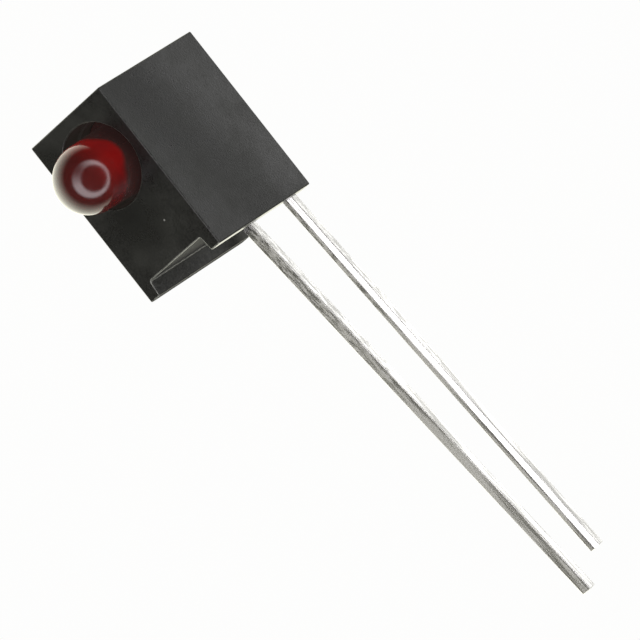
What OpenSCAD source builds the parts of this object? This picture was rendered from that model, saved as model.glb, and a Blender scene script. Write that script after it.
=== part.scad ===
// Right-angle board indicator: a 3 mm light-emitting diode in a black moulded holder.
// Millimetres, +Z up. The board's face is at Z = 0 and the lamp points along -Y.
// The origin lies on the board's face, midway between the two leads.

/* [Housing] */
// Width of the housing, across the leads
housing_w = 4.8; // [4.7:0.1:6.5]
// Depth of the housing, from its front face to its back face
housing_d = 7.0; // [6.6:0.1:9]
// Height of the housing above the board
housing_h = 8.0; // [7.8:0.1:10]
// Radius on the four upright edges
upright_r = 0.1; // [0.05:0.01:0.4]
// Radius on the edges round the top, and on the ends of the rails
edge_r = 0.07; // [0.05:0.01:0.25]
// From the back face to the middle of the leads, at the board
lead_setback = 0.28; // [0.25:0.01:0.6]

/* [Board rails] */
// Width of each rail at its foot
rail_w = 0.6; // [0.4:0.05:0.7]
// Height of the rails, which hold the housing off the board
rail_h = 0.7; // [0.4:0.05:1.2]
// Lean of a rail's inner face, in degrees
rail_draft = 6; // [0:1:10]

/* [Lamp opening] */
// Thickness of the roof above the recess
roof_t = 0.6; // [0.4:0.02:0.8]
// Diameter of the round recess in the front face
recess_d = 3.76; // [3.6:0.02:3.9]
// Bevel round the rim of the recess
rim_bevel = 0.07; // [0.03:0.01:0.12]
// Thickness of the inner wall that the lamp's flange seats against
seat_t = 0.6; // [0.4:0.05:0.9]

/* [Lamp] */
// Diameter of the lens
lens_d = 3.0; // [2.8:0.05:3.1]
// Taper of the lens body towards its dome, in degrees
lens_draft = 1.4; // [0.5:0.1:2]
// Length of the lamp, from the back of its flange to the tip of its dome
lamp_len = 5.3; // [5.1:0.05:5.6]
// How far the dome's tip stands out of the front face
stand_out = 2.6; // [2.3:0.05:2.8]
// Diameter of the flange
flange_d = 3.8; // [3.7:0.05:3.9]
// Thickness of the flange
flange_t = 1.0; // [0.8:0.05:1.2]
// Depth of the flat that marks the cathode's side of the flange
flat_depth = 0.28; // [0.2:0.02:0.3]
// How far the lamp hangs below the middle of its opening
lamp_sag = 0.14; // [0:0.02:0.16]

/* [Leads] */
// Distance between the middles of the leads
lead_pitch = 2.54; // [2.5:0.01:2.6]
// Width of a lead, across the housing
lead_w = 0.52; // [0.4:0.01:0.54]
// Thickness of the sheet that the leads are stamped from
lead_t = 0.4; // [0.35:0.01:0.5]
// Bevel on the long edges of a lead
lead_bevel = 0.04; // [0.02:0.01:0.12]
// Radius of the bend, at the middle of the lead
bend_r = 0.7; // [0.5:0.05:1]
// How far the leads lean backwards, in degrees
lead_lean = 6.6; // [0:0.2:8]
// How far each lead turns in towards the other below the housing, in degrees
lead_toe = 1; // [0:0.1:1.5]
// Length of the anode lead below the board's face
anode_len = 20.3; // [4:0.1:26]
// Length of the cathode lead below the board's face
cathode_len = 19.1; // [3:0.1:25]

/* [Lead frame inside the lamp] */
// Height above the back of the flange at which the posts start to lean inwards
shoulder_z = 0.8; // [0.6:0.05:1]
// Height above the back of the flange at which the posts stand upright again
neck_z = 1.46; // [1.2:0.02:1.48]
// From the lamp's axis to the outer edge of the anvil that holds the reflector cup
anvil_x = 0.98; // [0.9:0.02:1.04]
// Height of the reflector cup's rim above the back of the flange
cup_z = 2.3; // [2:0.05:2.6]
// Outer diameter of the reflector cup
cup_d = 0.84; // [0.7:0.02:0.9]
// Height of the reflector cup
cup_h = 0.42; // [0.34:0.02:0.5]
// Depth of the dish in the cup
dish_depth = 0.22; // [0.2:0.01:0.24]
// Diameter of the dish at its floor
dish_floor_d = 0.42; // [0.38:0.02:0.44]
// Diameter of the dish at its rim
dish_rim_d = 0.68; // [0.6:0.02:0.68]
// Side of the square chip
chip_w = 0.24; // [0.2:0.01:0.26]
// Height of the chip
chip_h = 0.15; // [0.12:0.01:0.17]
// Thickness of the cement under the chip
cement_t = 0.02; // [0.015:0.005:0.03]
// Diameter of the cement under the chip
cement_d = 0.36; // [0.35:0.01:0.38]
// Diameter of the bond wire
wire_d = 0.04; // [0.03:0.01:0.06]
// Width of the anode's post beside the cup
post_w = 0.42; // [0.3:0.02:0.46]
// Gap between the cup and the anode's post
post_gap = 0.22; // [0.16:0.02:0.28]

/* [Fits] */
// Clearance round the flange and the lens in the housing
lamp_fit = 0.05; // [0.03:0.01:0.06]
// Clearance on each side of a lead in its slot
slot_fit = 0.12; // [0.08:0.01:0.2]

/* [Hidden] */

// Any $fn above 12 stands for a true circle
$fn = 64;
// How far a cutting solid runs past the face that it opens
past = 0.5;

// The housing's faces, and the middle of its round opening
back_y = lead_setback;
front_y = back_y - housing_d;
recess_r = recess_d / 2;
opening_z = housing_h - roof_t - recess_r;

// The lamp's own frame starts at the back of its flange, with its Z axis along the lamp
lens_r = lens_d / 2;
flange_r = flange_d / 2;
dome_z = lamp_len - lens_r;
body_base_r = lens_r + (dome_z - flange_t) * tan(lens_draft);
lamp_z = opening_z - lamp_sag;
lamp_y = front_y + lamp_len - stand_out;

// The inner wall stands just in front of the flange
seat_back_y = lamp_y - flange_t - lamp_fit;
seat_front_y = seat_back_y - seat_t;
lens_hole_r = body_base_r + lamp_sag + lamp_fit;
lamp_bore_r = flange_r + lamp_sag + lamp_fit;

// The leads' centre lines: along the lamp's axis, round the bend, then down to the board
bend_angle = 90 - lead_lean;
bend_y = -lamp_z * tan(lead_lean) - bend_r * tan(bend_angle / 2);
bend_z = lamp_z - bend_r;
leg_top_z = bend_z + bend_r * cos(bend_angle);
toe_z = rail_h / 2;
slot_w = lead_w + 2 * slot_fit;
slot_front_y = -lamp_z * tan(lead_lean) - lead_t / 2 / cos(lead_lean) - slot_fit;

// The lead frame, in the lamp's own frame
throat_x = anvil_x / 2;
dish_floor_z = cup_z - dish_depth;
anvil_z = cup_z - (cup_h + dish_depth) / 2;
chip_z = dish_floor_z + cement_t;
wire_z = chip_z + chip_h;
post_x = cup_d / 2 + post_gap;
wire_bow_r = (post_x + post_w / 2) / 2;

// A rectangle with round corners, centred on the origin
module round_rect(w, h, r) {
    square([w - 2 * r, h], center = true);
    square([w, h - 2 * r], center = true);
    for (x = [-1, 1], y = [-1, 1])
        translate([x * (w / 2 - r), y * (h / 2 - r)]) circle(r);
}

// The section of a lead: a rectangle with its corners cut off, centred on the origin
module lead_section(w, h) {
    x = w / 2;
    y = h / 2;
    c = lead_bevel;
    polygon([
        [x - c, y], [c - x, y], [-x, y - c], [-x, c - y], [c - x, -y], [x - c, -y], [x, c - y], [x, y - c]
    ]);
}

// Places its children in the lamp's own frame
module in_lamp() {
    translate([0, lamp_y, lamp_z]) rotate([90, 0, 0]) children();
}

// The block that the housing is cut from, with its edges rounded
module housing_block() {
    intersection() {
        translate([0, (front_y + back_y) / 2, 0])
            linear_extrude(housing_h) round_rect(housing_w, housing_d, upright_r);
        translate([0, back_y, housing_h / 2]) rotate([90, 0, 0])
            linear_extrude(housing_d) round_rect(housing_w, housing_h, edge_r);
        translate([-housing_w / 2, (front_y + back_y) / 2, housing_h / 2]) rotate([90, 0, 90])
            linear_extrude(housing_w) round_rect(housing_d, housing_h, edge_r);
    }
}

// The channel between the two rails, along the whole underside
module rail_channel() {
    foot_x = housing_w / 2 - rail_w;
    drift = tan(rail_draft);
    translate([0, back_y + past, 0]) rotate([90, 0, 0])
        linear_extrude(housing_d + 2 * past) polygon([
            [-foot_x - past * drift, -past], [foot_x + past * drift, -past],
            [foot_x - rail_h * drift, rail_h], [-foot_x + rail_h * drift, rail_h]
        ]);
}

// The stepped round opening: recess, inner wall's hole and the bore that the lamp goes in by
module lamp_opening() {
    translate([0, 0, opening_z]) rotate([-90, 0, 0]) {
        translate([0, 0, front_y - past]) cylinder(r = recess_r, h = seat_front_y - front_y + past);
        translate([0, 0, front_y - past])
            cylinder(r1 = recess_r + rim_bevel + past, r2 = recess_r, h = rim_bevel + past);
        translate([0, 0, front_y]) cylinder(r = lens_hole_r, h = housing_d / 2);
        translate([0, 0, seat_back_y]) cylinder(r = lamp_bore_r, h = back_y - seat_back_y + past);
    }
}

// The slots that the leads go down in, open at the back and at the channel
module lead_slots() {
    for (side = [-1, 1])
        translate([side * lead_pitch / 2 - slot_w / 2, slot_front_y, rail_h - past])
            cube([slot_w, back_y - slot_front_y + past, opening_z - rail_h + past]);
}

module housing() {
    color([0.2, 0.2, 0.19]) difference() {
        housing_block();
        rail_channel();
        lamp_opening();
        lead_slots();
    }
}

// One lead from the back of the flange to its tip: side is -1 or 1, below is its length under the board
module lead(side, below) {
    run_len = bend_y - lamp_y;
    translate([side * lead_pitch / 2, 0, 0]) {
        translate([0, bend_y, lamp_z]) rotate([90, 0, 0])
            linear_extrude(run_len) lead_section(lead_w, lead_t);
        translate([0, bend_y, bend_z]) rotate([0, 90, 0]) rotate([0, 0, 180 - bend_angle])
            rotate_extrude(angle = bend_angle)
                translate([bend_r, 0]) lead_section(lead_t, lead_w);
        rotate([lead_lean, 0, 0]) mitred_leg(side, below);
    }
}

// The straight leg, with its Z axis along it: it meets the part that toes in on a mitre
module mitred_leg(side, below) {
    joint_z = toe_z / cos(lead_lean);
    top_z = leg_top_z / cos(lead_lean);
    reach = 2 * lead_w;
    intersection() {
        translate([0, 0, joint_z - reach])
            linear_extrude(top_z - joint_z + reach) lead_section(lead_w, lead_t);
        translate([0, 0, joint_z]) rotate([0, side * lead_toe / 2, 0])
            translate([-reach, -reach, 0]) cube([2 * reach, 2 * reach, 2 * top_z]);
    }
    translate([0, 0, joint_z]) intersection() {
        rotate([0, side * lead_toe, 0]) translate([0, 0, -below - joint_z])
            linear_extrude(below + joint_z + reach) lead_section(lead_w, lead_t);
        rotate([0, side * lead_toe / 2, 0]) translate([-below, -reach, -2 * below])
            cube([2 * below, 2 * reach, 2 * below]);
    }
}

// A flat stamping of the sheet's thickness, in the lamp's own frame
module stamping(points) {
    rotate([90, 0, 0]) translate([0, 0, -lead_t / 2]) linear_extrude(lead_t) polygon(points);
}

module anode_post() {
    outer_x = lead_pitch / 2 + lead_w / 2;
    inner_x = lead_pitch / 2 - lead_w / 2;
    stamping([
        [-outer_x, 0], [-inner_x, 0], [-inner_x, shoulder_z], [-post_x, neck_z],
        [-post_x, wire_z], [-post_x - post_w, wire_z], [-post_x - post_w, neck_z], [-outer_x, shoulder_z]
    ]);
}

module cathode_post() {
    outer_x = lead_pitch / 2 + lead_w / 2;
    inner_x = lead_pitch / 2 - lead_w / 2;
    stamping([
        [outer_x, 0], [outer_x, shoulder_z], [anvil_x, neck_z], [anvil_x, anvil_z], [0, anvil_z],
        [0, cup_z - cup_h], [throat_x, neck_z], [inner_x, shoulder_z], [inner_x, 0]
    ]);
    difference() {
        translate([0, 0, cup_z - cup_h]) cylinder(d = cup_d, h = cup_h);
        translate([0, 0, dish_floor_z])
            cylinder(d1 = dish_floor_d, d2 = dish_rim_d, h = dish_depth);
    }
}

module anode_lead() {
    color([0.75, 0.75, 0.74]) {
        in_lamp() anode_post();
        lead(-1, anode_len);
    }
}

module cathode_lead() {
    color([0.75, 0.75, 0.74]) {
        in_lamp() cathode_post();
        lead(1, cathode_len);
    }
}

module cement() {
    translate([0, 0, dish_floor_z]) cylinder(d = cement_d, h = cement_t);
}

module chip() {
    translate([-chip_w / 2, -chip_w / 2, chip_z]) cube([chip_w, chip_w, chip_h]);
}

// A half circle of wire from the chip's top to the top of the anode's post
module wire() {
    translate([-wire_bow_r, 0, wire_z]) rotate([90, 0, 0])
        rotate_extrude(angle = 180) translate([wire_bow_r, 0]) circle(d = wire_d);
}

module led_chip() {
    color([0.85, 0.8, 0.45]) in_lamp() chip();
}

module die_attach() {
    color([0.6, 0.6, 0.62]) in_lamp() cement();
}

module bond_wire() {
    color([0.9, 0.72, 0.3]) in_lamp() wire();
}

// The cast lens with its flange, before the lead frame is taken out of it
module lens_solid() {
    difference() {
        rotate_extrude() {
            polygon([
                [0, 0], [flange_r, 0], [flange_r, flange_t], [body_base_r, flange_t],
                [lens_r, dome_z], [0, dome_z]
            ]);
            intersection() {
                translate([0, dome_z]) circle(lens_r);
                translate([0, dome_z]) square(lens_r);
            }
        }
        translate([flange_r - flat_depth, -flange_r, -past])
            cube([flange_r, flange_d, flange_t + past]);
    }
}

module led_lens() {
    color([0.75, 0.05, 0.05]) in_lamp() difference() {
        lens_solid();
        anode_post();
        cathode_post();
        cement();
        chip();
        wire();
    }
}

housing();
led_lens();
anode_lead();
cathode_lead();
led_chip();
die_attach();
bond_wire();
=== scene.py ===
"""Dresses the right-angle board indicator: a moulded housing, a cast red lamp and two tinned leads."""

from math import cos, pi, radians, sin, tan

import bmesh
import bpy
from bpy.props import FloatProperty, FloatVectorProperty, IntProperty, PointerProperty
from mathutils import Matrix, Vector


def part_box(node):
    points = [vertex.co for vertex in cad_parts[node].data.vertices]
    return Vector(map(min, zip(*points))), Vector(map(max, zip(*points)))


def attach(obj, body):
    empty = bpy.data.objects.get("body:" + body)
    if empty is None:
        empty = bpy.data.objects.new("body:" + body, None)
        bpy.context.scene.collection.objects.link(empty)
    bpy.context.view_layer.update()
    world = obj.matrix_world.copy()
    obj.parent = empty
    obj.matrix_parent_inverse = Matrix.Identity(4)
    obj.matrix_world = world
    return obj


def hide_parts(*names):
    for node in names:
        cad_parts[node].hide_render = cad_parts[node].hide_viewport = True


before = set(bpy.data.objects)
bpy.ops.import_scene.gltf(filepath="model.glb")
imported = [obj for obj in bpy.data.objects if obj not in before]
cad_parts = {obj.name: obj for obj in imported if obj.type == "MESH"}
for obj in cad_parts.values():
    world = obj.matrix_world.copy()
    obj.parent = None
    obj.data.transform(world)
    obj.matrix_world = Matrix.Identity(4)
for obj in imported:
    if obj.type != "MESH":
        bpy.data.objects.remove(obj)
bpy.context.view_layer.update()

bl_info = {
    "name": "Right-Angle Board Indicator",
    "version": (1, 0, 0),
    "blender": (4, 5, 0),
    "location": "3D View > Sidebar > Indicator",
    "description": "Models and dresses a small red lamp in a right-angle housing, piece by piece",
    "category": "Add Mesh",
}

MM = 0.001
PAST = 0.5 * MM  # how far a cutting solid runs past what it cuts
SLACK = 0.01 * MM  # allowed where faces and edges are found by their place
NEARBY = 0.1 * MM  # how far from a corner its rounding or its edges may lie

# Marks that the housing's faces carry for its finish: wear with a painted highlight, a painted glow, and
# matt faces
WORN_AND_HIGHLIT, PAINTED_GLOW, MATT = "worn", "glow", "matt"

# How worn the housing's rounded edges are, with a painted highlight along them, and how worn and how matt
# its rails' sides, whose wear also paints light on them
NOTCH_WEAR_AND_HIGHLIGHT = 1.0
EDGE_WEAR_AND_HIGHLIGHT = 0.22
RAIL_WEAR_AND_PAINTED_LIGHT = 0.16
RAIL_MATT = 0.3

# Places in the finishes, in millimetres
FRONT_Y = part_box("housing")[0].y / MM  # the housing's front face
FLECK = (0.84, FRONT_Y, 2.19)  # a fleck of dust on the front face
SMOOTH_SHADED_SPOTS = (((-0.3, FRONT_Y, 3.0), 2.9), ((-2.1, FRONT_Y, 6.9), 1.9))  # spots polished smooth, whose colour is also darkened as a painted shade round the lamp: middle, reach
SINK_MIDDLE = (2.4, -4.2, 4.6)  # middle of the slope that a slight sink gives the housing's sides
SINK_RISE = (0, 0.96, 0.28)  # the way that this slope rises
DOME_PAINTED_LIGHT_SIDE = (0.81, -0.59, 0)  # the way that the dome gets brighter, from a painted shade on its far side to painted light

# The surround's light: brightness by the angle from an axis, in degrees. 0 lies along the axis, on the
# camera's side, and 180 behind the object. Each axis leans from the line to the camera, by so much along the
# picture's width and its height.
WHITE = (1, 1, 1)
BACKDROP = (0.985, 0.985, 0.98)  # what the camera sees of it

# The white surround behind the object, and how the part of it that metal mirrors backwards is dimmed
BACK_LEAN = (0.195, 0.115)
BACK_LIGHT = (
    (180, 2.1), (135, 2.05), (125, 1.8), (117, 1.45), (109, 1.0),
    (101, 0.46), (96, 0.11), (92, 0.045), (0, 0.04),
)
BACK_TINT = (1.0, 0.99, 0.84)
SHADE_LEAN = (-0.636, -0.5)
BACK_SHADE = ((180, 0.35), (155, 0.42), (137, 0.9), (125, 1.0), (0, 1.0))

# A soft light behind the object, low on the left
FILL_LEAN = (1.05, 0.64)
FILL_LIGHT = ((180, 1.15), (165, 0.9), (150, 0.35), (138, 0.05), (130, 0.0), (0, 0.0))

# The ring of light round the camera, its dark middle and its fainter upper left
RING_LEAN = (0.14, -0.06)
RING_LIGHT = ((180, 0.0), (65, 0.0), (56, 4.3), (0, 4.3))
RING_TINT = (0.98, 0.96, 1.0)
HOLE_LEAN = (0.31, -0.02)
RING_HOLE = ((180, 1.0), (48, 1.0), (38, 0.01), (0, 0.01))
GAP_LEAN = (-0.91, 0.64)
RING_GAP = ((180, 1.0), (50, 1.0), (30, 0.55), (8, 0.12), (0, 0.12))

# The disc of light that the leads' sides mirror: its distance, its width, its radiance, and how far it is
# turned from the middle of the mirrored view
SOFTBOX_DISTANCE = 0.15
SOFTBOX_SIZE = 0.08
SOFTBOX_RADIANCE = 2.3
SOFTBOX_TURN = radians(13)


# Properties for the sizes and colours that a user would change


def length(name, description, default_mm):
    """A property for a length, given in millimetres and kept in metres."""
    return FloatProperty(
        name=name,
        description=description,
        default=default_mm * MM,
        min=0.0,
        precision=5,
        unit="LENGTH",
        subtype="DISTANCE",
    )


def tint(name, description, default):
    """A property for a linear colour."""
    return FloatVectorProperty(
        name=name, description=description, default=default, size=3, min=0.0, max=1.0, subtype="COLOR"
    )


def turn(name, description, default_degrees):
    """A property for an angle, given in degrees."""
    return FloatProperty(
        name=name,
        description=description,
        default=radians(default_degrees),
        precision=3,
        unit="ROTATION",
        subtype="ANGLE",
    )


class HousingSettings(bpy.types.PropertyGroup):
    """Sizes and colours of the moulded housing."""

    upright_round: length("Upright rounding", "Radius of the four upright edges", 0.06)
    edge_round: length("Edge rounding", "Radius of the edges round the top and the foot", 0.09)
    rail_width: length("Rail width", "Width of each rail at its foot", 0.6)
    rail_height: length("Rail height", "Height of the two rails", 0.7)
    rail_draft: turn("Rail draft", "Lean of a rail's inner face", 6)
    rail_gap: length("Rail gap", "Width across the channel, out to the rounding of its edges", 4.2)
    opening_height: length("Opening height", "Middle of the round opening above the board", 5.52)
    recess_radius: length("Recess radius", "Radius of the round recess in the front face", 1.88)
    recess_depth: length("Recess depth", "Depth of the recess to the inner wall", 1.05)
    rim_round: length("Rim rounding", "Rounding of the recess's rim", 0.07)
    wall_thickness: length("Inner wall", "Thickness of the wall that the lamp seats on", 0.6)
    lens_hole_radius: length("Lens hole radius", "Radius of the hole through the inner wall", 1.76)
    bore_radius: length("Bore radius", "Radius of the bore that the lamp goes in by", 2.09)
    slot_width: length("Slot width", "Width of the slot that each lead goes down in", 0.76)
    slot_front: length("Slot front", "How far a slot's front lies before the back face", 1.22)
    touch_round: length("Touch rounding", "Rounding of the notch's and the back's edges", 0.09)
    dark_colour: tint("Dark grain", "Darker colour of the plastic's grain", (0.003, 0.003, 0.0027))
    light_colour: tint("Light grain", "Lighter colour of the plastic's grain", (0.008, 0.008, 0.007))
    cloud_colour: tint("Clouds", "Colour of the plastic's broad cloudiness", (0.015, 0.0162, 0.0132))
    # Colour of wear on the edges, which also paints a highlight along them and paints light on the rails'
    # sides
    worn_and_highlight_colour: tint("Worn edges", "Colour of the plastic's worn edges", (0.2, 0.205, 0.18))
    # A painted glow in the recess and the lens hole, in place of light scattered there: cooler at -X, redder
    # at +X
    painted_glow_cool_colour: tint("Glow at -X", "Light scattered in the recess at -X", (0.0115, 0.0105, 0.0085))
    painted_glow_red_colour: tint("Glow at +X", "Lamplight scattered in the recess at +X", (0.0185, 0.0085, 0.008))
    fleck_colour: tint("Dust", "Colour of the fleck of dust", (0.16, 0.16, 0.15))


class LampSettings(bpy.types.PropertyGroup):
    """Sizes and colours of the cast lamp."""

    lens_radius: length("Lens radius", "Radius of the lens where its dome starts", 1.5)
    base_radius: length("Body radius", "Radius of the body where it meets the flange", 1.568)
    lamp_height: length("Lamp height", "Height of the lamp's axis above the board", 5.38)
    flange_back: length("Flange setback", "Distance of the flange's back before the leads", 4.02)
    dome_start: length("Dome start", "Length from the flange's back to the dome's start", 3.8)
    flange_radius: length("Flange radius", "Radius of the flange", 1.9)
    flange_thickness: length("Flange thickness", "Thickness of the flange", 1.0)
    flat_depth: length("Flat depth", "Depth of the flat on the cathode's side", 0.28)
    flange_round: length("Flange rounding", "Rounding of the flange's edges", 0.06)
    back_rim: length("Back rim", "Width of the flat rim round the flange's back", 0.18)
    back_slope: length("Back slope", "Width of the slope inside that rim", 0.12)
    back_recess: length("Back recess", "Depth of the flange's back inside its rim", 0.06)
    dome_colour: tint("Dome", "Colour of the epoxy in the dome", (0.087, 0.0095, 0.0085))
    # Painted light: the body's brighter red stands in for light passed through the epoxy
    painted_light_body_colour: tint("Body", "Colour of the epoxy in the body", (0.36, 0.0085, 0.0075))
    # A painted shade on the dome's far side
    dome_painted_shade_colour: tint("Rim", "Colour of the epoxy on the dome's darker side", (0.02, 0.0115, 0.0105))
    # Towards the bottom the body's painted light fades to this
    low_colour: tint("Underside", "Colour of the epoxy low on the body", (0.1, 0.0095, 0.009))
    # A painted shade on the epoxy inside the housing
    shade_colour: tint("Root", "Colour of the epoxy inside the housing", (0.03, 0.01, 0.009))
    # A painted glow on the epoxy inside the housing, in place of light scattered through it
    painted_inner_glow: tint("Inner light", "Light through the epoxy inside the housing", (0.013, 0.0065, 0.006))


class LeadSettings(bpy.types.PropertyGroup):
    """Sizes and colours of the tinned leads."""

    pitch: length("Pitch", "Distance between the middles of the leads", 2.54)
    width: length("Width", "Width of a lead", 0.52)
    thickness: length("Thickness", "Thickness of the sheet that the leads are stamped from", 0.4)
    edge_round: length("Edge rounding", "Rounding of a lead's long edges", 0.025)
    tip_round: length("Tip rounding", "Rounding of the edges round a lead's tip", 0.03)
    bend_radius: length("Bend radius", "Radius of the bend, at the middle of the lead", 0.7)
    lean: turn("Lean", "How far the legs lean backwards", 6.6)
    toe: turn("Toe-in", "How far each leg turns in towards the other", 1.0)
    toe_height: length("Toe-in height", "Height above the board where the toe-in starts", 0.35)
    anode_length: length("Anode length", "Length of the anode lead below the board", 20.3)
    cathode_length: length("Cathode length", "Length of the cathode lead below the board", 19.1)
    tin_colour: tint("Tin", "Colour of the bright tin", (0.92, 0.91, 0.885))
    dull_colour: tint("Dull tin", "Colour of the streaks of duller tin", (0.59, 0.585, 0.565))
    crease: length("Crease", "How far the cathode's outer half falls back, from its stamping", 0.05)
    crease_shift: FloatProperty(
        name="Crease shift",
        description="Place of the crease across the lead, from its middle",
        default=-0.01 * MM,
        precision=5,
        unit="LENGTH",
        subtype="DISTANCE",
    )


class StageSettings(bpy.types.PropertyGroup):
    """Camera, light and floor."""

    azimuth: turn("Azimuth", "Direction that the camera looks from, round the object", 38.943)
    elevation: turn("Elevation", "Height of the camera above the horizon", -2.946)
    roll: turn("Roll", "Turn of the camera about its own axis", 38.148)
    target: FloatVectorProperty(
        name="Target",
        description="Point that the camera looks at",
        default=(2.263 * MM, -4.570 * MM, -4.858 * MM),
        subtype="XYZ",
        unit="LENGTH",
        precision=5,
    )
    distance: length("Distance", "Distance of the camera from its target", 300)
    focal_length: FloatProperty(
        name="Focal length", description="Focal length of the camera's lens", default=416.05, unit="CAMERA"
    )
    floor_height: FloatProperty(
        name="Floor height", description="Height of the floor", default=-30 * MM, unit="LENGTH"
    )
    floor_radius: length("Floor radius", "Radius of the round floor", 500)
    floor_colour: tint("Floor", "Colour of the floor", (0.79, 0.795, 0.89))
    floor_sides: IntProperty(name="Floor sides", description="Sides of the round floor", default=128, min=3)


# Modelling as by hand


def deselect():
    """Leaves nothing selected, so that an operator acts on the new piece alone."""
    if bpy.context.object and bpy.context.object.mode != "OBJECT":
        bpy.ops.object.mode_set(mode="OBJECT")
    bpy.ops.object.select_all(action="DESELECT")


def settle(name):
    """Names the new primitive and puts its place, turn and size into its mesh."""
    piece = bpy.context.object
    piece.name = piece.data.name = name
    bpy.ops.object.transform_apply(location=True, rotation=True, scale=True)
    return piece


def add_block(name, low, high):
    """Adds a block between two corners, in metres."""
    deselect()
    low, high = Vector(low), Vector(high)
    bpy.ops.mesh.primitive_cube_add(size=1, location=(low + high) / 2, scale=high - low)
    return settle(name)


def add_turned(name, centre, profile, segments=96):
    """Adds a closed turned solid round a line along +Y: profile holds (y, radius) from front to back."""
    deselect()
    first_y, first_radius = profile[0]
    bpy.ops.mesh.primitive_circle_add(
        vertices=segments,
        radius=first_radius,
        fill_type="NGON",
        location=(centre[0], first_y, centre[1]),
        rotation=(pi / 2, 0, 0),
    )
    piece = settle(name)
    open_for_editing(piece)
    bpy.ops.mesh.select_all(action="SELECT")
    y, radius = first_y, first_radius
    for next_y, next_radius in profile[1:]:
        ratio = next_radius / radius
        grow((0, next_y - y, 0), (ratio, 1, ratio), (centre[0], next_y, centre[1]))
        y, radius = next_y, next_radius
    bpy.ops.mesh.select_all(action="SELECT")
    bpy.ops.mesh.normals_make_consistent(inside=False)
    close_editing()
    return piece


def open_for_editing(piece):
    """Opens one piece in edit mode with nothing selected."""
    deselect()
    piece.select_set(True)
    bpy.context.view_layer.objects.active = piece
    bpy.ops.object.mode_set(mode="EDIT")
    bpy.ops.mesh.select_all(action="DESELECT")


def close_editing():
    """Leaves edit mode."""
    bpy.ops.object.mode_set(mode="OBJECT")


def pick(kind, test):
    """Selects the open mesh's faces, edges or vertices that pass the test, and returns how many do."""
    bpy.ops.mesh.select_mode(type=kind)
    bpy.ops.mesh.select_all(action="DESELECT")
    mesh = bpy.context.object.data
    shape = bmesh.from_edit_mesh(mesh)
    shape.normal_update()
    parts = {"FACE": shape.faces, "EDGE": shape.edges, "VERT": shape.verts}[kind]
    found = [part for part in parts if test(part)]
    if not found:
        raise RuntimeError(f"{bpy.context.object.name}: nothing to select here")
    for part in found:
        part.select_set(True)
    shape.select_flush_mode()
    bmesh.update_edit_mesh(mesh)
    return len(found)


def grow(offset, scale=(1, 1, 1), centre=(0, 0, 0)):
    """Extrudes what is selected by an offset and scales the new end about a centre."""
    bpy.ops.mesh.extrude_region_move(TRANSFORM_OT_translate={"value": offset})
    if tuple(scale) != (1, 1, 1):
        bpy.ops.transform.resize(value=scale, center_override=centre)


def round_edges(radius, segments=3):
    """Rounds the selected edges."""
    bpy.ops.mesh.bevel(offset=radius, segments=segments, affect="EDGES", clamp_overlap=True)


def along(edge, axis):
    """True for an edge that runs along the axis numbered 0, 1 or 2."""
    span = edge.verts[1].co - edge.verts[0].co
    return abs(span[axis]) > 0.999 * span.length


def middle(edge):
    """Middle of an edge."""
    return (edge.verts[0].co + edge.verts[1].co) / 2


def near(value, *goals, slack=0.002 * MM):
    """True for a length that is one of the goals, to a few micrometres."""
    return any(abs(value - goal) < slack for goal in goals)


def is_corner(edge, degrees=30):
    """True for a convex edge where two faces meet at more than so many degrees."""
    return len(edge.link_faces) == 2 and edge.is_convex and edge.calc_face_angle(0) > radians(degrees)


def apply_modifier(piece, kind, **settings):
    """Adds a modifier to a piece, sets it and applies it."""
    deselect()
    piece.select_set(True)
    bpy.context.view_layer.objects.active = piece
    modifier = piece.modifiers.new(kind.title(), kind)
    for name, value in settings.items():
        setattr(modifier, name, value)
    bpy.ops.object.modifier_apply(modifier=modifier.name)


def cut(piece, cutter):
    """Takes a cutting solid out of a piece, and the cutting solid away."""
    apply_modifier(piece, "BOOLEAN", operation="DIFFERENCE", solver="EXACT", object=cutter)
    bpy.data.objects.remove(cutter)


def smooth(piece, degrees=35):
    """Shades the rounded edges smooth and keeps the broad faces flat."""
    deselect()
    piece.select_set(True)
    bpy.context.view_layer.objects.active = piece
    bpy.ops.object.shade_smooth_by_angle(angle=radians(degrees))
    apply_modifier(piece, "WEIGHTED_NORMAL", mode="FACE_AREA", keep_sharp=True)


def hand_over(piece, node, finish):
    """Gives a piece its finish, puts it on its body and lets it stand for its CAD node."""
    piece.data.materials.clear()
    piece.data.materials.append(finish)
    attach(piece, "root")
    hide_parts(node)


# Finishes


class NodeTree:
    """A node tree, with short ways to add its nodes and link them."""

    def __init__(self, tree):
        self.tree = tree

    def node(self, kind, inputs=(), **settings):
        """Adds a node, with its settings and with values or links in its inputs."""
        made = self.tree.nodes.new(kind)
        for name, value in settings.items():
            setattr(made, name, value)
        for name, value in dict(inputs).items():
            self.feed(made.inputs[name], value)
        return made

    def feed(self, socket, value):
        """Links a socket to another one, or sets its value."""
        if isinstance(value, bpy.types.NodeSocket):
            self.tree.links.new(value, socket)
        elif hasattr(value, "__len__") and len(value) == 3 and socket.type == "RGBA":
            socket.default_value = (*value, 1)
        else:
            socket.default_value = value

    def mix(self, factor, a, b, blend="MIX"):
        """Two colours mixed."""
        node = self.node("ShaderNodeMix", {0: factor, 6: a, 7: b}, data_type="RGBA", blend_type=blend)
        return node.outputs[2]

    def maths(self, operation, *values):
        """Numbers added, multiplied and so on."""
        return self.node("ShaderNodeMath", enumerate(values), operation=operation).outputs["Value"]

    def vector_maths(self, operation, a, b):
        """A node that adds, multiplies or compares two vectors."""
        return self.node("ShaderNodeVectorMath", {0: a, 1: b}, operation=operation)


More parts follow.
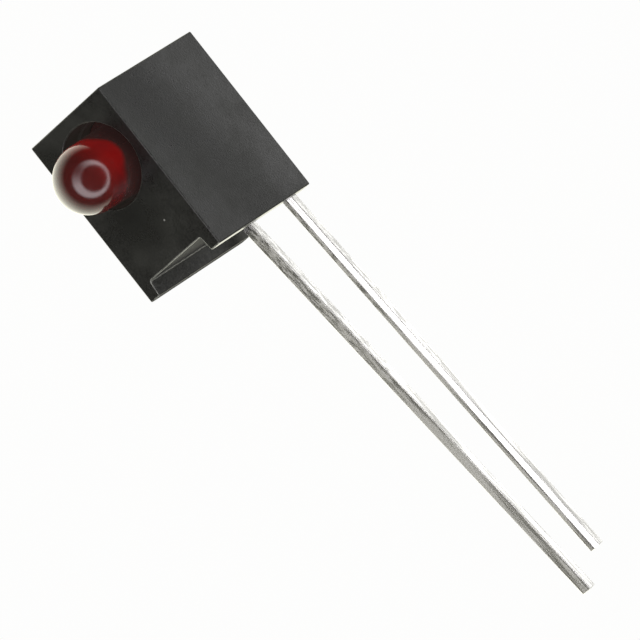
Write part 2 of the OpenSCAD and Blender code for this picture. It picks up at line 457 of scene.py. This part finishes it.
class Finish(NodeTree):
    """A procedural material on Object coordinates, which its nodes read in millimetres."""

    def __init__(self, name):
        self.material = bpy.data.materials.new(name)
        self.material.use_nodes = True
        super().__init__(self.material.node_tree)
        self.shader = self.tree.nodes["Principled BSDF"]
        self.place = self.mapped(self.node("ShaderNodeTexCoord").outputs["Object"], scale=(1 / MM,) * 3)

    def mapped(self, vector, location=(0, 0, 0), rotation=(0, 0, 0), scale=(1, 1, 1)):
        """Coordinates moved, turned and scaled."""
        inputs = {"Vector": vector, "Location": location, "Rotation": rotation, "Scale": scale}
        return self.node("ShaderNodeMapping", inputs).outputs["Vector"]

    def noise(self, per_mm, detail=3, roughness=0.55, vector=None, distortion=0):
        """Cloudy noise with so many features to the millimetre."""
        inputs = {
            "Vector": vector or self.place,
            "Scale": per_mm,
            "Detail": detail,
            "Roughness": roughness,
            "Distortion": distortion,
        }
        return self.node("ShaderNodeTexNoise", inputs).outputs["Fac"]

    def between(self, value, low, high, out_low=0, out_high=1, smooth_ends=True):
        """A value spread from one range to another and held at its ends."""
        kind = "SMOOTHSTEP" if smooth_ends else "LINEAR"
        inputs = {"Value": value, "From Min": low, "From Max": high, "To Min": out_low, "To Max": out_high}
        return self.node("ShaderNodeMapRange", inputs, interpolation_type=kind).outputs["Result"]

    def lerp(self, factor, a, b):
        """Two numbers mixed."""
        return self.node("ShaderNodeMix", {0: factor, 2: a, 3: b}, data_type="FLOAT").outputs[0]

    def towards(self, centre, direction):
        """How far a place lies from a centre in a direction, in millimetres."""
        offset = self.vector_maths("SUBTRACT", self.place, centre).outputs["Vector"]
        return self.vector_maths("DOT_PRODUCT", offset, direction).outputs["Value"]

    def distance(self, centre):
        """Distance from a point, in millimetres."""
        return self.vector_maths("DISTANCE", self.place, centre).outputs["Value"]

    def mark(self, name):
        """A number that the piece's own faces carry."""
        return self.node("ShaderNodeAttribute", attribute_name=name).outputs["Fac"]

    def axis(self, name):
        """One of the coordinates, in millimetres."""
        return self.node("ShaderNodeSeparateXYZ", {"Vector": self.place}).outputs[name]

    def bump(self, height, depth_mm, below=None):
        """A bump of so many millimetres between a height of 0 and one of 1."""
        inputs = {"Height": height, "Strength": 1.0, "Distance": depth_mm * MM}
        if below is not None:
            inputs["Normal"] = below
        return self.node("ShaderNodeBump", inputs).outputs["Normal"]

    def dress(self, **sockets):
        """Sets or links the shader's own sockets."""
        for name, value in sockets.items():
            self.feed(self.shader.inputs[name.replace("_", " ")], value)
        return self.material


def moulded_plastic(settings):
    """Black moulded plastic: matt grain, broad clouds, polished spots darkened by painted shade, worn edges
    with a painted highlight and a painted glow in the opening.
    """
    finish = Finish("moulded_plastic")
    grain = finish.noise(13, detail=2, roughness=0.6)
    clouds = finish.noise(0.42, detail=3, vector=finish.mapped(finish.place, location=(1.5, 0.4, 2.0)))
    patches = finish.noise(1.7, detail=3, roughness=0.5)
    scuffs = finish.between(finish.noise(6, detail=3, roughness=0.65), 0.35, 0.6, 0.35, 1)
    smooth_and_shaded = finish.between(finish.axis("Y"), FRONT_Y + 0.01, FRONT_Y + 0.05, 0.45, 0)
    for centre, reach in SMOOTH_SHADED_SPOTS:
        spot = finish.between(finish.distance(centre), 0.2 * reach, reach, 0.9, 0)
        smooth_and_shaded = finish.maths("MAXIMUM", smooth_and_shaded, spot)

    colour = finish.mix(finish.between(grain, 0.36, 0.66), settings.dark_colour, settings.light_colour)
    colour = finish.mix(finish.between(clouds, 0.35, 0.68, 0.05, 0.55), colour, settings.cloud_colour)
    # Wear on the edges that also paints their highlight, and light painted on the rails' sides
    colour = finish.mix(finish.maths("MULTIPLY", finish.mark(WORN_AND_HIGHLIT), scuffs), colour, settings.worn_and_highlight_colour)
    # Painted shade: the front face and the polished spots are darkened
    colour = finish.mix(finish.maths("MULTIPLY", smooth_and_shaded, 0.6), colour, settings.dark_colour)
    fleck = finish.between(finish.distance(FLECK), 0.03, 0.06, 1, 0)
    colour = finish.mix(fleck, colour, settings.fleck_colour)

    roughness = finish.maths(
        "ADD", finish.between(grain, 0.3, 0.7, 0.34, 0.44), finish.between(patches, 0.3, 0.7, -0.03, 0.03)
    )
    roughness = finish.maths("ADD", roughness, finish.between(clouds, 0.35, 0.68, -0.055, 0.055))
    roughness = finish.lerp(smooth_and_shaded, roughness, 0.25)
    roughness = finish.lerp(finish.mark(MATT), roughness, 0.85)
    # The rails' feet: matt at -X and polished by the board at +X
    foot = finish.between(finish.axis("Z"), 0.002, 0.01, 1, 0)
    roughness = finish.lerp(foot, roughness, finish.between(finish.axis("X"), -1, 1, 0.95, 0.18))

    grain_height = finish.maths("MULTIPLY", grain, finish.between(smooth_and_shaded, 0, 1, 1, 0, smooth_ends=False))
    along_side = finish.towards(SINK_MIDDLE, SINK_RISE)
    sink = finish.maths(
        "SUBTRACT", finish.between(along_side, -1.9, 1.7), finish.between(along_side, 1.9, 4.9, 0, 0.6)
    )
    relief = finish.bump(sink, 0.065)
    relief = finish.bump(patches, 0.0015, relief)
    relief = finish.bump(grain_height, 0.006, relief)
    # The painted glow in the opening goes from cool at -X to red at +X
    across = finish.between(finish.axis("X"), -1.6, 1.6)
    return finish.dress(
        Base_Color=colour,
        Roughness=roughness,
        Normal=relief,
        IOR=1.45,
        Emission_Color=finish.mix(across, settings.painted_glow_cool_colour, settings.painted_glow_red_colour),
        Emission_Strength=finish.mark(PAINTED_GLOW),
    )


def red_epoxy(settings):
    """Red epoxy with a little diffusant: deeper in the dome, with painted shade on its far side, brighter
    with painted light in the body, dim with painted shade and a painted glow in the housing.
    """
    finish = Finish("red_epoxy")
    y = finish.axis("Y")
    dome_y = -(settings.flange_back + settings.dome_start) / MM
    flange_front = -(settings.flange_back + settings.flange_thickness) / MM
    lamp_z = settings.lamp_height / MM
    radius = settings.lens_radius / MM

    # Painted light and shade across the dome, darker on its far side
    across = finish.towards((0, dome_y, lamp_z), DOME_PAINTED_LIGHT_SIDE)
    across = finish.between(across, 0.05 * radius, 0.97 * radius, smooth_ends=False)
    dome = finish.mix(across, settings.dome_painted_shade_colour, settings.dome_colour)
    clouds = finish.between(finish.noise(0.9, detail=3), 0.3, 0.7, -0.15, 0.15)
    # Painted light in the body, fading towards the bottom
    height = finish.between(finish.axis("Z"), lamp_z - 1.3, lamp_z + 0.3, 0, 0.9)
    body = finish.mix(finish.maths("ADD", height, clouds), settings.low_colour, settings.painted_light_body_colour)
    colour = finish.mix(finish.between(y, dome_y - 1.1, dome_y + 0.2), dome, body)

    # Painted shade inside the housing: it starts where the housing's rim cuts the light off, which is
    # further in on the +X side
    bulge = finish.between(finish.distance((1.5, dome_y + 0.6, lamp_z + 0.3)), 0.2, 1.1, 0.36, 0)
    shade = finish.between(finish.maths("SUBTRACT", y, bulge), dome_y + 0.24, dome_y + 0.7)
    shade = finish.maths("MULTIPLY", shade, finish.between(y, flange_front, flange_front + 0.15, 1, 0))
    colour = finish.mix(shade, colour, settings.shade_colour)

    smears = finish.noise(1.6, detail=4, roughness=0.6, distortion=0.8)
    return finish.dress(
        Base_Color=colour,
        Roughness=finish.between(smears, 0.35, 0.75, 0.1, 0.2),
        Normal=finish.bump(finish.noise(0.8, detail=1), 0.006),
        IOR=1.55,
        # A painted glow in the painted shade, in place of light scattered through the epoxy
        Emission_Color=settings.painted_inner_glow,
        Emission_Strength=shade,
        Subsurface_Weight=0.25,
        Subsurface_Radius=(1.0, 0.25, 0.2),
        Subsurface_Scale=0.35 * MM,
    )


def tinned_metal(settings):
    """Hot-tinned steel: streaks along the leg, shorter near the housing, small pits and a wavy skin."""
    finish = Finish("tinned_metal")
    leg = finish.mapped(finish.place, rotation=(-settings.lean, 0, 0))
    long_streaks = finish.noise(7, detail=3, vector=finish.mapped(leg, scale=(1, 1, 0.04)))
    short_streaks = finish.noise(9, detail=3, roughness=0.65, vector=finish.mapped(leg, scale=(1, 1, 0.2)))
    near_housing = finish.between(finish.axis("Z"), -13, -3)
    streaks = finish.between(finish.lerp(near_housing, long_streaks, short_streaks), 0.38, 0.62)
    colour = finish.mix(streaks, settings.tin_colour, settings.dull_colour)
    colour = finish.mix(finish.between(finish.axis("Z"), -9, 1), colour, settings.dull_colour)
    pits = finish.maths("MULTIPLY", finish.noise(16, detail=2), finish.between(near_housing, 0, 1, 0.3, 1))
    return finish.dress(
        Base_Color=colour,
        Roughness=finish.between(streaks, 0, 1, 0.225, 0.4, smooth_ends=False),
        Normal=finish.bump(long_streaks, 0.006, finish.bump(pits, 0.0012)),
        Metallic=1.0,
    )


def chip_crystal():
    """Pale grown crystal of the chip, with sawn sides."""
    finish = Finish("chip_crystal")
    saw = finish.noise(60, detail=2, vector=finish.mapped(finish.place, scale=(1, 0.15, 1)))
    colour = finish.mix(finish.between(saw, 0.35, 0.65), (0.62, 0.55, 0.2), (0.45, 0.4, 0.16))
    return finish.dress(Base_Color=colour, Roughness=finish.between(saw, 0.3, 0.7, 0.2, 0.4), IOR=2.4)


def silver_cement():
    """Cement filled with silver flakes."""
    finish = Finish("silver_cement")
    flakes = finish.noise(90, detail=3, roughness=0.7)
    return finish.dress(
        Base_Color=finish.mix(finish.between(flakes, 0.35, 0.65), (0.3, 0.3, 0.31), (0.75, 0.75, 0.76)),
        Roughness=finish.between(flakes, 0.3, 0.7, 0.35, 0.6),
        Normal=finish.bump(flakes, 0.004),
        Metallic=0.8,
    )


def gold_wire():
    """Drawn gold wire."""
    finish = Finish("gold_wire")
    drawn = finish.noise(40, detail=2, roughness=0.6)
    colour = finish.mix(finish.between(drawn, 0.35, 0.65), (0.9, 0.62, 0.22), (0.78, 0.5, 0.16))
    roughness = finish.between(drawn, 0.3, 0.7, 0.15, 0.3)
    return finish.dress(Base_Color=colour, Roughness=roughness, Metallic=1.0)


def paper_floor(settings):
    """Pale card with a faint mottle, which is clear from below."""
    finish = Finish("paper_floor")
    mottle = finish.between(finish.noise(0.15, detail=4), 0.3, 0.7)
    darker = [0.985 * share for share in settings.floor_colour]
    finish.dress(Base_Color=finish.mix(mottle, settings.floor_colour, darker), Roughness=0.8, IOR=1.3)
    from_below = finish.node("ShaderNodeNewGeometry").outputs["Backfacing"]
    clear = finish.node("ShaderNodeBsdfTransparent").outputs["BSDF"]
    card = finish.shader.outputs["BSDF"]
    both = finish.node("ShaderNodeMixShader", {0: from_below, 1: card, 2: clear}).outputs["Shader"]
    finish.feed(finish.tree.nodes["Material Output"].inputs["Surface"], both)
    return finish.material


class Surround(NodeTree):
    """The world's light, made of ramps by the angle from axes that lean from the camera's own."""

    def __init__(self, name, camera_axes):
        self.world = bpy.data.worlds.new(name)
        self.world.use_nodes = True
        super().__init__(self.world.node_tree)
        self.tree.nodes.clear()
        self.camera_axes = camera_axes
        self.direction = self.node("ShaderNodeTexCoord").outputs["Generated"]

    def ramp(self, lean, stops, tint_of_light=WHITE):
        """Light by the angle from a leaning axis, in degrees."""
        x_axis, y_axis, back = self.camera_axes
        axis = (back + lean[0] * x_axis + lean[1] * y_axis).normalized()
        cosine = self.vector_maths("DOT_PRODUCT", self.direction, axis).outputs["Value"]
        node = self.node("ShaderNodeValToRGB", {"Fac": self.maths("MULTIPLY_ADD", cosine, 0.5, 0.5)})
        stops = sorted((cos(radians(angle)) / 2 + 0.5, level) for angle, level in stops)
        points = node.color_ramp.elements
        while len(points) < len(stops):
            points.new(1.0)
        for point, (position, level) in zip(points, stops):
            point.position = position
            point.color = (*(level * share for share in tint_of_light), 1)
        return node.outputs["Color"]

    def shine(self, light, backdrop):
        """Ends the tree with the light, or the backdrop where the camera sees it, and returns the world."""
        seen = self.node("ShaderNodeLightPath").outputs["Is Camera Ray"]
        background = self.node("ShaderNodeBackground", {"Color": self.mix(seen, light, backdrop)})
        self.node("ShaderNodeOutputWorld", {"Surface": background.outputs["Background"]})
        return self.world


# Pieces


class INDICATOR_OT_housing(bpy.types.Operator):
    """Model the moulded housing: block, rails, stepped opening and lead slots"""

    bl_idname = "indicator.housing"
    bl_label = "Housing"

    def execute(self, context):
        s = context.scene.indicator_housing
        low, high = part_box("housing")
        block = add_block("housing_moulding", low, high)
        open_for_editing(block)
        pick("EDGE", lambda edge: along(edge, 2))
        round_edges(s.upright_round, segments=6)
        pick(
            "EDGE",
            lambda edge: not along(edge, 2) and all(near(v.co.z, low.z, high.z) for v in edge.verts),
        )
        round_edges(s.edge_round, segments=4)
        close_editing()
        self.cut_channel(block, s, low, high)
        cut(block, self.opening_cutter(s, low, high))
        pitch = context.scene.indicator_leads.pitch
        for x in (-pitch / 2, pitch / 2):
            corner = (x - s.slot_width / 2, high.y - s.slot_front, s.rail_height - PAST)
            opposite = (x + s.slot_width / 2, high.y + PAST, s.opening_height)
            cut(block, add_block("slot_cutter", corner, opposite))
        self.round_the_back(block, s, high)
        self.mark_faces(block, s)
        smooth(block)
        hand_over(block, "housing", moulded_plastic(s))
        return {"FINISHED"}

    def cut_channel(self, block, s, low, high):
        """Cuts the channel between the rails and rounds its rim."""
        foot_x = high.x - s.rail_width
        ceiling_x = foot_x - s.rail_height * tan(s.rail_draft)
        cutter = add_block(
            "channel_cutter", (-foot_x, low.y - PAST, low.z), (foot_x, high.y + PAST, s.rail_height)
        )
        open_for_editing(cutter)
        pick("FACE", lambda face: face.normal.z > 0.9)
        bpy.ops.transform.resize(value=(ceiling_x / foot_x, 1, 1), center_override=(0, 0, s.rail_height))
        pick("EDGE", lambda edge: along(edge, 1) and near(middle(edge).z, s.rail_height))
        round_edges(s.touch_round, segments=3)
        pick("FACE", lambda face: face.normal.z < -0.9)
        bpy.ops.transform.translate(value=(0, 0, -SLACK))
        close_editing()
        cut(block, cutter)
        open_for_editing(block)
        pick(
            "EDGE",
            lambda edge: is_corner(edge)
            and abs(middle(edge).x) < foot_x + 2 * SLACK
            and middle(edge).z < s.rail_height + SLACK,
        )
        round_edges(s.touch_round, segments=2)
        close_editing()

    def opening_cutter(self, s, low, high):
        """The stepped round solid that the opening is cut with, from the front to the back."""
        front, back = low.y, high.y
        wall = front + s.recess_depth
        rim = [
            (front + s.rim_round * (1 - cos(a)), s.recess_radius + s.rim_round * (1 - sin(a)))
            for a in (0, pi / 6, pi / 3, pi / 2)
        ]
        profile = [
            (front - PAST, s.recess_radius + s.rim_round + SLACK / 2),
            *rim,
            (wall, s.recess_radius),
            (wall, s.lens_hole_radius),
            (wall + s.wall_thickness, s.lens_hole_radius),
            (wall + s.wall_thickness, s.bore_radius),
            (back + PAST, s.bore_radius),
        ]
        return add_turned("opening_cutter", (0, s.opening_height), profile, segments=128)

    def mark_faces(self, block, s):
        """Marks the faces for the finish: worn edges with a painted highlight, a painted glow in the opening
        and matt faces.
        """
        marks = {WORN_AND_HIGHLIT: [], PAINTED_GLOW: [], MATT: []}
        bores = (s.recess_radius, s.lens_hole_radius, s.bore_radius)
        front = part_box("housing")[0].y
        inner_face = front + s.recess_depth + s.wall_thickness
        for face in block.data.polygons:
            centre, normal = face.center, face.normal
            square = max(abs(share) for share in normal) > 0.99
            radius = Vector((centre.x, centre.z - s.opening_height)).length
            in_bore = abs(normal.y) < 0.02 and near(radius, *bores, slack=SLACK)
            behind_rim = front + s.rim_round < centre.y < inner_face + SLACK
            in_opening = behind_rim and radius < s.recess_radius + SLACK
            in_notch = abs(centre.x) < s.rail_gap / 2 and centre.z < s.rail_height + NEARBY
            rail_side = in_notch and abs(normal.x) > 0.9 and centre.z < s.rail_height
            foot_edge = centre.z < s.touch_round and abs(normal.y) < 0.1
            ceiling = normal.z < -0.99 and near(centre.z, s.rail_height)
            # Wear that also paints a highlight on the edges, and painted light on the rails' sides
            if rail_side:
                worn = RAIL_WEAR_AND_PAINTED_LIGHT
            elif square or foot_edge or in_bore:
                worn = 0.0
            else:
                worn = NOTCH_WEAR_AND_HIGHLIGHT if in_notch else EDGE_WEAR_AND_HIGHLIGHT
            if in_opening or ceiling or normal.z > 0.99:
                matt = 1.0
            else:
                matt = RAIL_MATT if rail_side else 0.0
            marks[WORN_AND_HIGHLIT].append(worn)
            marks[PAINTED_GLOW].append(float(in_opening))
            marks[MATT].append(matt)
        for name, values in marks.items():
            block.data.attributes.new(name, "FLOAT", "FACE").data.foreach_set("value", values)

    def round_the_back(self, block, s, high):
        """Rounds the mouths of the bore and the slots in the back face."""
        inside = high.x - 3 * s.upright_round
        open_for_editing(block)
        pick(
            "EDGE",
            lambda edge: is_corner(edge)
            and all(near(v.co.y, high.y) for v in edge.verts)
            and abs(middle(edge).x) < inside
            and s.rail_height + NEARBY < middle(edge).z < high.z - 3 * s.upright_round,
        )
        round_edges(s.touch_round / 2, segments=2)
        close_editing()


class INDICATOR_OT_lamp(bpy.types.Operator):
    """Model the cast lamp: dome, tapered body and flange with its flat"""

    bl_idname = "indicator.lamp"
    bl_label = "Lamp"

    def execute(self, context):
        s = context.scene.indicator_lamp
        dome_y = -s.flange_back - s.dome_start
        centre = Vector((0, dome_y, s.lamp_height))
        deselect()
        bpy.ops.mesh.primitive_uv_sphere_add(
            segments=96, ring_count=64, radius=s.lens_radius, location=centre, rotation=(pi / 2, 0, 0)
        )
        lens = settle("lamp_lens")
        open_for_editing(lens)
        pick("VERT", lambda vertex: vertex.co.y > dome_y + SLACK)
        bpy.ops.mesh.delete(type="VERT")
        pick("EDGE", lambda edge: edge.is_boundary)
        steps = [
            (s.dome_start - s.flange_thickness, s.lens_radius, s.base_radius),
            (0, s.base_radius, s.flange_radius),
            (s.flange_thickness, s.flange_radius, s.flange_radius),
        ]
        y = dome_y
        for advance, radius, next_radius in steps:
            y += advance
            ratio = next_radius / radius
            bpy.ops.mesh.extrude_edges_move(TRANSFORM_OT_translate={"value": (0, advance, 0)})
            bpy.ops.transform.resize(value=(ratio, 1, ratio), center_override=(0, y, s.lamp_height))
        bpy.ops.mesh.edge_face_add()
        bpy.ops.mesh.select_all(action="SELECT")
        bpy.ops.mesh.normals_make_consistent(inside=False)
        close_editing()
        flange_front = y - s.flange_thickness
        reach = 2 * s.flange_radius
        corner = (s.flange_radius - s.flat_depth, flange_front - 0.1 * SLACK, s.lamp_height - reach)
        cut(lens, add_block("flat_cutter", corner, (reach, y + PAST, s.lamp_height + reach)))
        open_for_editing(lens)
        pick("EDGE", lambda edge: is_corner(edge, 50) and middle(edge).y > flange_front - SLACK)
        round_edges(s.flange_round, segments=3)
        pick("FACE", lambda face: face.normal.y > 0.9 and near(face.calc_center_median().y, y))
        bpy.ops.mesh.inset(thickness=s.back_rim)
        bpy.ops.mesh.inset(thickness=s.back_slope, depth=-s.back_recess)
        close_editing()
        smooth(lens)
        hand_over(lens, "led_lens", red_epoxy(s))
        return {"FINISHED"}


class INDICATOR_OT_leads(bpy.types.Operator):
    """Model the two stamped and tinned leads, each with its run, its bend and its leg"""

    bl_idname = "indicator.leads"
    bl_label = "Leads"

    def execute(self, context):
        s = context.scene.indicator_leads
        lamp = context.scene.indicator_lamp
        finish = tinned_metal(s)
        for name, node, side, below in (
            ("anode_stamping", "anode_lead", -1, s.anode_length),
            ("cathode_stamping", "cathode_lead", 1, s.cathode_length),
        ):
            lead = self.bent_lead(name, s, lamp, side, below)
            smooth(lead, 50)
            hand_over(lead, node, finish)
        return {"FINISHED"}

    def bent_lead(self, name, s, lamp, side, below):
        """One lead: the run behind the lamp, the bend and the leg down to its tip."""
        x, z = side * s.pitch / 2, lamp.lamp_height
        start_y = -lamp.flange_back
        bend_angle = pi / 2 - s.lean
        bend_y = -z * tan(s.lean) - s.bend_radius * tan(bend_angle / 2)
        bend_z = z - s.bend_radius
        half_width, half_thickness = s.width / 2, s.thickness / 2
        lead = add_block(
            name, (x - half_width, start_y, z - half_thickness), (x + half_width, bend_y, z + half_thickness)
        )
        open_for_editing(lead)
        if side > 0:
            bpy.ops.mesh.select_all(action="SELECT")
            bpy.ops.mesh.bisect(plane_co=(x + s.crease_shift, 0, 0), plane_no=(1, 0, 0))
            outer_x = x + half_width / 2
            pick("EDGE", lambda edge: along(edge, 1) and middle(edge).x > outer_x and middle(edge).z < z)
            bpy.ops.transform.translate(value=(0, 0, s.crease))
        pick("EDGE", lambda edge: along(edge, 1) and is_corner(edge, 5))
        round_edges(s.edge_round, segments=3)
        pick("FACE", lambda face: face.normal.y > 0.9)
        bpy.ops.mesh.spin(steps=12, angle=bend_angle, center=(x, bend_y, bend_z), axis=(1, 0, 0))
        leg_top_z = bend_z + s.bend_radius * cos(bend_angle)
        self.run_down(leg_top_z - s.toe_height, s.lean, 0)
        self.run_down(below * cos(s.lean) + s.toe_height, s.lean, -side * s.toe)
        bpy.ops.mesh.select_all(action="SELECT")
        bpy.ops.mesh.normals_make_consistent(inside=False)
        tip_z = min(v.co.z for v in bmesh.from_edit_mesh(lead.data).verts)
        pick("EDGE", lambda edge: is_corner(edge, 50) and middle(edge).z < tip_z + NEARBY)
        round_edges(s.tip_round, segments=2)
        close_editing()
        return lead

    def run_down(self, drop, lean, toe):
        """Extrudes the selected end downwards, leaning back and turning in."""
        grow((drop * tan(toe), drop * tan(lean), -drop))


class INDICATOR_OT_core(bpy.types.Operator):
    """Finish the chip, its cement and its wire, which are sealed in the lamp"""

    bl_idname = "indicator.core"
    bl_label = "Chip, Cement and Wire"

    def execute(self, context):
        for node, finish in (
            ("led_chip", chip_crystal()),
            ("die_attach", silver_cement()),
            ("bond_wire", gold_wire()),
        ):
            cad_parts[node].material_slots[0].material = finish
        return {"FINISHED"}


class INDICATOR_OT_stage(bpy.types.Operator):
    """Set up the camera, the soft light and the pale floor"""

    bl_idname = "indicator.stage"
    bl_label = "Camera, Light and Floor"

    def execute(self, context):
        s = context.scene.indicator_stage
        context.scene.view_settings.view_transform = "Standard"
        self.add_camera(context, s)
        self.add_floor(s)
        self.light_world(context, s)
        self.add_softbox(s)
        return {"FINISHED"}

    def camera_axes(self, s):
        """The camera's own X, Y and Z axes."""
        level = cos(s.elevation)
        back = Vector((sin(s.azimuth) * level, -cos(s.azimuth) * level, sin(s.elevation)))
        right = Vector((cos(s.azimuth), sin(s.azimuth), 0))
        up = back.cross(right)
        return (
            cos(s.roll) * right - sin(s.roll) * up,
            sin(s.roll) * right + cos(s.roll) * up,
            back,
        )

    def add_camera(self, context, s):
        """Adds the camera of the photograph's view."""
        axes = self.camera_axes(s)
        place = Vector(s.target) + s.distance * axes[2]
        deselect()
        bpy.ops.object.camera_add(location=place, rotation=Matrix(axes).transposed().to_euler())
        camera = context.object
        camera.data.lens = s.focal_length
        camera.data.sensor_width = 36
        camera.data.clip_start = 0.01
        camera.data.clip_end = 5
        context.scene.camera = camera

    def add_floor(self, s):
        """Adds the round floor."""
        deselect()
        bpy.ops.mesh.primitive_circle_add(
            vertices=s.floor_sides, radius=s.floor_radius, fill_type="NGON", location=(0, 0, s.floor_height)
        )
        floor = settle("floor")
        floor.data.materials.append(paper_floor(s))
        floor.visible_diffuse = floor.visible_glossy = floor.visible_shadow = False

    def add_softbox(self, s):
        """Adds the soft light at the side, where the leads' sides mirror it to the camera."""
        deselect()
        mirrored = Vector((sin(s.azimuth - SOFTBOX_TURN), cos(s.azimuth - SOFTBOX_TURN), -sin(s.elevation)))
        bpy.ops.object.light_add(
            type="AREA",
            location=Vector(s.target) + SOFTBOX_DISTANCE * mirrored,
            rotation=mirrored.to_track_quat("Z", "Y").to_euler(),
        )
        softbox = bpy.context.object.data
        softbox.shape = "DISK"
        softbox.size = SOFTBOX_SIZE
        softbox.energy = SOFTBOX_RADIANCE * pi * pi * (SOFTBOX_SIZE / 2) ** 2

    def light_world(self, context, s):
        """Lights the world: a white surround behind, a soft fill on the left and a ring round the camera."""
        light = Surround("soft_studio", self.camera_axes(s))
        behind = light.ramp(BACK_LEAN, BACK_LIGHT, BACK_TINT)
        behind = light.mix(1, behind, light.ramp(SHADE_LEAN, BACK_SHADE), "MULTIPLY")
        behind = light.mix(1, behind, light.ramp(FILL_LEAN, FILL_LIGHT, BACK_TINT), "ADD")
        ring = light.ramp(RING_LEAN, RING_LIGHT, RING_TINT)
        for lean, stops in ((HOLE_LEAN, RING_HOLE), (GAP_LEAN, RING_GAP)):
            ring = light.mix(1, ring, light.ramp(lean, stops), "MULTIPLY")
        context.scene.world = light.shine(light.mix(1, behind, ring, "ADD"), BACKDROP)


class VIEW3D_PT_indicator(bpy.types.Panel):
    """The pieces of the indicator, in the order that they are made"""

    bl_label = "Board Indicator"
    bl_space_type = "VIEW_3D"
    bl_region_type = "UI"
    bl_category = "Indicator"

    def draw(self, context):
        for operator in PIECES:
            self.layout.operator(operator.bl_idname)
        for name in SETTINGS:
            box = self.layout.box()
            settings = getattr(context.scene, name)
            for key in settings.__annotations__:
                box.prop(settings, key)


# Registering and running

PIECES = (
    INDICATOR_OT_stage,
    INDICATOR_OT_housing,
    INDICATOR_OT_lamp,
    INDICATOR_OT_leads,
    INDICATOR_OT_core,
)
SETTINGS = {
    "indicator_housing": HousingSettings,
    "indicator_lamp": LampSettings,
    "indicator_leads": LeadSettings,
    "indicator_stage": StageSettings,
}


def register():
    """Registers the settings, the operators and the panel."""
    for name, group in SETTINGS.items():
        bpy.utils.register_class(group)
        setattr(bpy.types.Scene, name, PointerProperty(type=group))
    for made in (*PIECES, VIEW3D_PT_indicator):
        bpy.utils.register_class(made)


def unregister():
    """Takes away what register() added."""
    for made in (VIEW3D_PT_indicator, *reversed(PIECES)):
        bpy.utils.unregister_class(made)
    for name, group in reversed(SETTINGS.items()):
        delattr(bpy.types.Scene, name)
        bpy.utils.unregister_class(group)


def main():
    """Makes every piece in order."""
    register()
    bpy.ops.indicator.stage()
    bpy.ops.indicator.housing()
    bpy.ops.indicator.lamp()
    bpy.ops.indicator.leads()
    bpy.ops.indicator.core()


if __name__ == "__main__":
    main()
